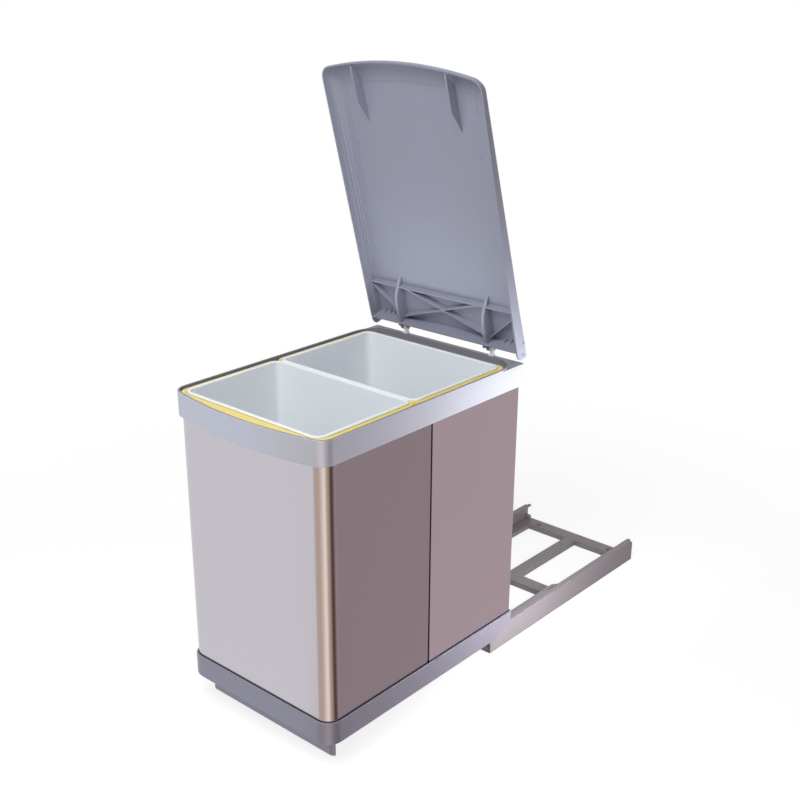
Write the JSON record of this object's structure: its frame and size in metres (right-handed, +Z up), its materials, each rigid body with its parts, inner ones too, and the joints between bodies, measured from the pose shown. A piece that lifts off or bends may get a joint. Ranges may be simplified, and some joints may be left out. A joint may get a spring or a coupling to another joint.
{
  "type": "pull-out kitchen waste bin",
  "caption": "Pull-out waste bin unit for a kitchen base cabinet: steel-clad bin with hinged ribbed lid and lift-out buckets on bag rings, running on rollers out of a low floor frame",
  "frame": {"origin": "middle of the footprint, on the cabinet floor, with the bin fully out and the lid open as pictured", "axes": "+X to the user's right, +Y into the cabinet, +Z up; the bin comes out along -Y"},
  "size_m": [0.2562, 0.7444, 0.8082],
  "materials": {
    "shell_steel": "smooth stainless sheet",
    "collar_plastic": "satin silver-grey moulding",
    "tray_plastic": "satin grey moulding",
    "lid_plastic": "satin blue-grey moulding",
    "frame_plastic": "satin grey moulding",
    "bucket_plastic": "slightly translucent bluish white",
    "ring_plastic": "yellow moulding",
    "post_plastic": "white moulding",
    "roller_nylon": "white nylon",
    "zinc_steel": "zinc-plated steel"
  },
  "bodies": {
    "frame": {"floor_frame": "frame_plastic", "left_rail": "frame_plastic", "right_rail": "frame_plastic", "left_rail_roller_pin": "zinc_steel", "right_rail_roller_pin": "zinc_steel"},
    "bin": {"steel_shell": "shell_steel", "base_tray": "tray_plastic", "top_collar": "collar_plastic", "left_hinge_post": "post_plastic", "left_hinge_pin": "zinc_steel", "left_collar_screw": "zinc_steel", "left_bin_runner": "zinc_steel", "left_bin_roller_pin": "zinc_steel", "right_hinge_post": "post_plastic", "right_hinge_pin": "zinc_steel", "right_collar_screw": "zinc_steel", "right_bin_runner": "zinc_steel", "right_bin_roller_pin": "zinc_steel"},
    "lid": {"lid": "lid_plastic"},
    "front_ring": {"front_bag_ring": "ring_plastic"},
    "front_bin": {"front_bucket": "bucket_plastic"},
    "rear_ring": {"rear_bag_ring": "ring_plastic"},
    "rear_bin": {"rear_bucket": "bucket_plastic"},
    "left_middle": {"left_middle_runner": "zinc_steel", "left_middle_rear_pin": "zinc_steel", "left_middle_front_pin": "zinc_steel"},
    "right_middle": {"right_middle_runner": "zinc_steel", "right_middle_rear_pin": "zinc_steel", "right_middle_front_pin": "zinc_steel"},
    "left_rail_roller_body": {"left_rail_roller": "roller_nylon"},
    "left_middle_rear_roller_body": {"left_middle_rear_roller": "roller_nylon"},
    "left_middle_front_roller_body": {"left_middle_front_roller": "roller_nylon"},
    "left_bin_roller_body": {"left_bin_roller": "roller_nylon"},
    "right_rail_roller_body": {"right_rail_roller": "roller_nylon"},
    "right_middle_rear_roller_body": {"right_middle_rear_roller": "roller_nylon"},
    "right_middle_front_roller_body": {"right_middle_front_roller": "roller_nylon"},
    "right_bin_roller_body": {"right_bin_roller": "roller_nylon"}
  },
  "joints": [
    {"name": "bin_slide", "type": "slide", "parent": "frame", "child": "bin", "axis": [0, 1, 0], "range_m": [0, 0.322]},
    {"name": "left_middle_slide", "type": "slide", "parent": "frame", "child": "left_middle", "axis": [0, 1, 0], "range_m": [0, 0.161]},
    {"name": "right_middle_slide", "type": "slide", "parent": "frame", "child": "right_middle", "axis": [0, 1, 0], "range_m": [0, 0.161]},
    {"name": "lid_hinge", "type": "hinge", "parent": "bin", "child": "lid", "pos_m": [0, 0.0052, 0.447], "axis": [-1, 0, 0], "range_deg": [-74.8, 21]},
    {"name": "front_ring_lift", "type": "slide", "parent": "bin", "child": "front_ring", "axis": [0, 0, 1], "range_m": [0, 0.39]},
    {"name": "front_bucket_lift", "type": "slide", "parent": "front_ring", "child": "front_bin", "axis": [0, 0, 1], "range_m": [0, 0.39]},
    {"name": "rear_ring_lift", "type": "slide", "parent": "bin", "child": "rear_ring", "axis": [0, 0, 1], "range_m": [0, 0.09]},
    {"name": "rear_bucket_lift", "type": "slide", "parent": "rear_ring", "child": "rear_bin", "axis": [0, 0, 1], "range_m": [0, 0.09]},
    {"name": "left_rail_roller_spin", "type": "hinge", "parent": "frame", "child": "left_rail_roller_body", "pos_m": [-0.0975, 0.0002, 0.0194], "axis": [1, 0, 0], "continuous": true},
    {"name": "left_middle_rear_roller_spin", "type": "hinge", "parent": "left_middle", "child": "left_middle_rear_roller_body", "pos_m": [-0.0965, 0.1622, 0.02075], "axis": [1, 0, 0], "continuous": true},
    {"name": "left_middle_front_roller_spin", "type": "hinge", "parent": "left_middle", "child": "left_middle_front_roller_body", "pos_m": [-0.087, -0.1628, 0.02055], "axis": [1, 0, 0], "continuous": true},
    {"name": "left_bin_roller_spin", "type": "hinge", "parent": "bin", "child": "left_bin_roller_body", "pos_m": [-0.087, -0.0158, 0.01935], "axis": [1, 0, 0], "continuous": true},
    {"name": "right_rail_roller_spin", "type": "hinge", "parent": "frame", "child": "right_rail_roller_body", "pos_m": [0.0975, 0.0002, 0.0194], "axis": [1, 0, 0], "continuous": true},
    {"name": "right_middle_rear_roller_spin", "type": "hinge", "parent": "right_middle", "child": "right_middle_rear_roller_body", "pos_m": [0.0965, 0.1622, 0.02075], "axis": [1, 0, 0], "continuous": true},
    {"name": "right_middle_front_roller_spin", "type": "hinge", "parent": "right_middle", "child": "right_middle_front_roller_body", "pos_m": [0.087, -0.1628, 0.02055], "axis": [1, 0, 0], "continuous": true},
    {"name": "right_bin_roller_spin", "type": "hinge", "parent": "bin", "child": "right_bin_roller_body", "pos_m": [0.087, -0.0158, 0.01935], "axis": [1, 0, 0], "continuous": true}
  ],
  "couplings": [
    {"joint": "left_middle_slide", "follows": "bin_slide", "ratio": 0.5},
    {"joint": "right_middle_slide", "follows": "bin_slide", "ratio": 0.5},
    {"joint": "left_rail_roller_spin", "follows": "bin_slide", "rad_per_m": -53.76},
    {"joint": "left_middle_rear_roller_spin", "follows": "bin_slide", "rad_per_m": 45.87},
    {"joint": "left_middle_front_roller_spin", "follows": "bin_slide", "rad_per_m": -65.36},
    {"joint": "left_bin_roller_spin", "follows": "bin_slide", "rad_per_m": 77.52},
    {"joint": "right_rail_roller_spin", "follows": "bin_slide", "rad_per_m": -53.76},
    {"joint": "right_middle_rear_roller_spin", "follows": "bin_slide", "rad_per_m": 45.87},
    {"joint": "right_middle_front_roller_spin", "follows": "bin_slide", "rad_per_m": -65.36},
    {"joint": "right_bin_roller_spin", "follows": "bin_slide", "rad_per_m": 77.52}
  ]
}
